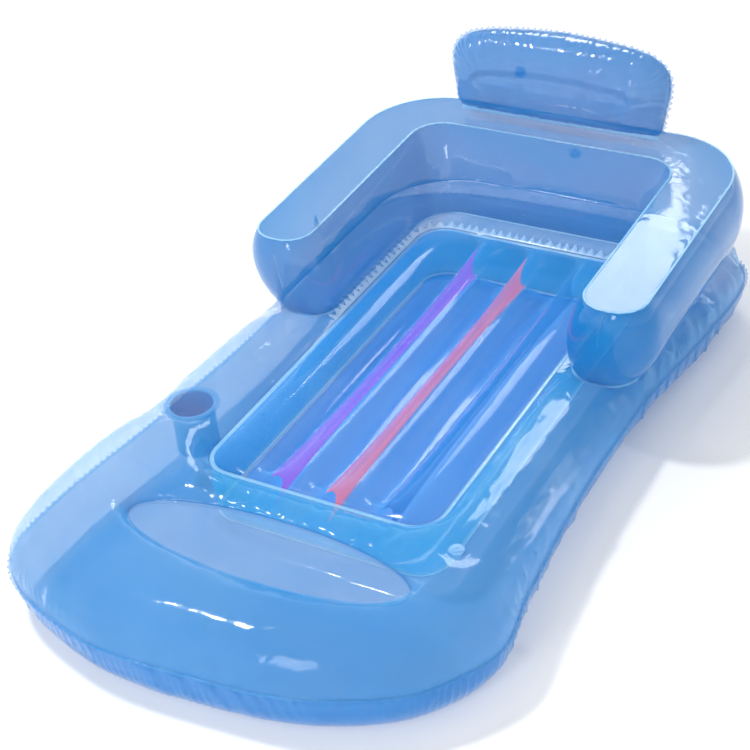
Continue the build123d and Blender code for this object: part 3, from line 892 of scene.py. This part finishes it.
FLOOR_FILM = film_material("Clear floor film", (0.03, 0.33, 0.80), (0.18, 0.52, 0.92), 0.10, 0.42, painted_glow=0.3)
FLOOR_LOW_FILM = film_material("Lower floor film", (0.01, 0.24, 0.68), (0.06, 0.36, 0.80), 0.42, 0.68, painted_glow=0.3)
HEEL_FILM = film_material("Heel panel film", (0.30, 0.53, 0.82), (0.50, 0.70, 0.90), 0.22, 0.45)
WALL_FILM = film_material("Blue wall film", (0.0, 0.19, 0.52), (0.0, 0.27, 0.64), 0.44, 0.72, painted_glow=0.16)
PANEL_FILM = film_material("Top panel film", (0.01, 0.28, 0.66), (0.08, 0.40, 0.78), 0.24, 0.55)
SEAM_FILM = film_material("Blue pressed seam", (0.03, 0.30, 0.68), (0.16, 0.48, 0.84), 0.34, 0.62, rough=0.14, wrinkle=90.0)
PALE_FILM = film_material("Pale flange film", (0.55, 0.78, 0.96), (0.85, 0.95, 1.0), 0.45, 0.70, rough=0.2, wrinkle=90.0)
for piece in PIECES.values():
    piece.data.materials.clear()
    piece.data.materials.append(FILMS[piece["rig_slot"]])
PIECES["floor_top"].data.materials[0] = FLOOR_FILM
PIECES["floor_bottom"].data.materials[0] = FLOOR_LOW_FILM
PIECES["heel_panel"].data.materials[0] = HEEL_FILM
PIECES["backrest_top"].data.materials[0] = PANEL_FILM
for name in ("backrest_inner", "backrest_outer", "headrest_front", "headrest_back", "cup_wall_band"):
    PIECES[name].data.materials[0] = WALL_FILM
for prefix in ("base", "backrest", "headrest"):
    for part in ("flange", "stem", "plug", "flap"):
        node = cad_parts[f"{prefix}_valve_{part}"]
        node.data.materials.clear()
        node.data.materials.append(FILMS["valve_vinyl"])
        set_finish(node, "valve_vinyl")
print(len(FILMS), "films on", len(PIECES), "pieces")

# %% [markdown]
# ## Rippled welds from nodes
#
# The ripple is a sine along the weld whose phase and size wander with a little noise.
# The noise is read on a circle, so that it closes where the weld meets itself.

# %% Ripple nodes
ripple = bpy.data.node_groups.new("Weld ripple", "GeometryNodeTree")
ripple.interface.new_socket("Geometry", in_out="INPUT", socket_type="NodeSocketGeometry")
sockets = {}
for name, kind, value in (("Ripples", "NodeSocketFloat", 100.0), ("Depth", "NodeSocketFloat", 0.002), ("Wander", "NodeSocketFloat", 9.0),
                          ("Seed", "NodeSocketFloat", 3.0), ("Film", "NodeSocketMaterial", None)):
    socket = ripple.interface.new_socket(name, in_out="INPUT", socket_type=kind)
    if value is not None:
        socket.default_value = value
    sockets[name] = socket.identifier
ripple.interface.new_socket("Geometry", in_out="OUTPUT", socket_type="NodeSocketGeometry")
given, made = ripple.nodes.new("NodeGroupInput"), ripple.nodes.new("NodeGroupOutput")


def named(key, kind="FLOAT"):
    node = ripple.nodes.new("GeometryNodeInputNamedAttribute")
    node.data_type = kind
    node.inputs["Name"].default_value = key
    return node.outputs["Attribute"]


turn = math_node(ripple, "MULTIPLY", named("along"), 2 * math.pi)
circle = ripple.nodes.new("ShaderNodeCombineXYZ")
link(ripple, math_node(ripple, "COSINE", turn), circle.inputs[0])
link(ripple, math_node(ripple, "SINE", turn), circle.inputs[1])
link(ripple, given.outputs["Seed"], circle.inputs[2])
wander = ripple.nodes.new("ShaderNodeTexNoise")
wander.inputs["Scale"].default_value = 7.0
link(ripple, circle.outputs[0], wander.inputs["Vector"])
phase = math_node(ripple, "ADD", math_node(ripple, "MULTIPLY", turn, given.outputs["Ripples"]),
                  math_node(ripple, "MULTIPLY", wander.outputs["Fac"], given.outputs["Wander"]))
size = ripple.nodes.new("ShaderNodeTexNoise")
size.inputs["Scale"].default_value = 19.0
link(ripple, circle.outputs[0], size.inputs["Vector"])
height = math_node(ripple, "MULTIPLY", math_node(ripple, "SINE", phase), math_node(ripple, "MULTIPLY", size.outputs["Fac"], 1.6))
height = math_node(ripple, "MULTIPLY", height, math_node(ripple, "MULTIPLY", named("across"), given.outputs["Depth"]))
offset = ripple.nodes.new("ShaderNodeVectorMath")
offset.operation = "SCALE"
link(ripple, named("lift", "FLOAT_VECTOR"), offset.inputs[0])
link(ripple, height, offset.inputs["Scale"])
move = ripple.nodes.new("GeometryNodeSetPosition")
real = ripple.nodes.new("GeometryNodeRealizeInstances")
dress = ripple.nodes.new("GeometryNodeSetMaterial")
link(ripple, given.outputs["Geometry"], move.inputs["Geometry"])
link(ripple, offset.outputs[0], move.inputs["Offset"])
link(ripple, move.outputs[0], real.inputs[0])
link(ripple, real.outputs[0], dress.inputs["Geometry"])
link(ripple, given.outputs["Film"], dress.inputs["Material"])
link(ripple, dress.outputs[0], made.inputs["Geometry"])

for number, (piece, turns, depth) in enumerate(BANDS):
    modifier = piece.modifiers.new("Weld ripple", "NODES")
    modifier.node_group = ripple
    modifier[sockets["Ripples"]] = float(turns)
    modifier[sockets["Depth"]] = depth * MM
    modifier[sockets["Seed"]] = 3.0 + number
    modifier[sockets["Film"]] = {"seat_rim_band": PALE_FILM, "base_seam": SEAM_FILM, "cup_rim": SEAM_FILM,
                                 "headrest_seam": SEAM_FILM}.get(piece.name, FILMS["weld"])
    bpy.context.view_layer.update()
    evaluated = piece.evaluated_get(bpy.context.evaluated_depsgraph_get())
    rippled = bpy.data.meshes.new_from_object(evaluated)
    piece.modifiers.clear()
    old, piece.data = piece.data, rippled
    bpy.data.meshes.remove(old)
    for polygon in rippled.polygons:
        polygon.use_smooth = True
print(len(BANDS), "welds rippled")

# %% [markdown]
# ## Floor, light and camera

# %% Stage
bpy.ops.mesh.primitive_plane_add(size=30, location=(0, 0, -0.001))
floor = bpy.context.object
floor.name = "floor"
paint = bpy.data.materials.new("Pale floor")
paint.use_nodes = True
paint.node_tree.nodes["Principled BSDF"].inputs["Base Color"].default_value = (0.95, 0.95, 0.95, 1)
paint.node_tree.nodes["Principled BSDF"].inputs["Roughness"].default_value = 0.9
floor.data.materials.append(paint)

scene = bpy.context.scene
world = bpy.data.worlds.new("Studio")
world.use_nodes = True
sky = world.node_tree
way = sky.nodes.new("ShaderNodeTexCoord")
height = sky.nodes.new("ShaderNodeSeparateXYZ")
link(sky, way.outputs["Generated"], height.inputs[0])
low = math_node(sky, "POWER", math_node(sky, "SUBTRACT", 1.0, height.outputs[2], clamp=True), 3.0)
sky.nodes["Background"].inputs["Color"].default_value = (1, 1, 1, 1)
link(sky, math_node(sky, "ADD", math_node(sky, "MULTIPLY", low, 0.9), 0.68), sky.nodes["Background"].inputs["Strength"])
scene.world = world


def lamp(name, place, aim, size, power, shape="DISK"):
    """An area light of the given size that faces a point."""
    data = bpy.data.lights.new(name, "AREA")
    data.shape, data.size, data.energy = shape, size, power
    light = bpy.data.objects.new(name, data)
    scene.collection.objects.link(light)
    light.location = place
    direction = np.array(aim, float) - np.array(place, float)
    from mathutils import Vector
    light.rotation_mode = "QUATERNION"
    light.rotation_quaternion = Vector(direction).to_track_quat("-Z", "Y")
    return light


lamp("key", (-1.3, -0.5, 3.2), (0, 0, 0.2), 0.34, 55)
lamp("softbox", (-0.9, 2.6, 2.3), (0.2, 0.2, 0.3), 0.9, 26, "SQUARE")
lamp("fill", (0.2, -3.2, 1.6), (0, 0, 0.2), 0.8, 22, "SQUARE")

scene.cycles.transparent_max_bounces = 64
scene.view_settings.view_transform = "Standard"

azimuth, elevation, roll = math.radians(32.69), math.radians(35.26), math.radians(-6.18)
forward = np.array([-math.sin(azimuth) * math.cos(elevation), math.cos(azimuth) * math.cos(elevation), -math.sin(elevation)])
level = np.array([math.cos(azimuth), math.sin(azimuth), 0])
raised = np.cross(level, forward)
side = math.cos(roll) * level + math.sin(roll) * raised
top = -math.sin(roll) * level + math.cos(roll) * raised
from mathutils import Matrix
camera_data = bpy.data.cameras.new("camera")
camera_data.lens, camera_data.sensor_width = 80.86, 36.0
camera_data.clip_end = 100
camera = bpy.data.objects.new("camera", camera_data)
scene.collection.objects.link(camera)
turned = Matrix((side, top, -forward)).transposed()
camera.matrix_world = Matrix.Translation((1.3705, -2.2655, 2.047)) @ turned.to_4x4()
scene.camera = camera
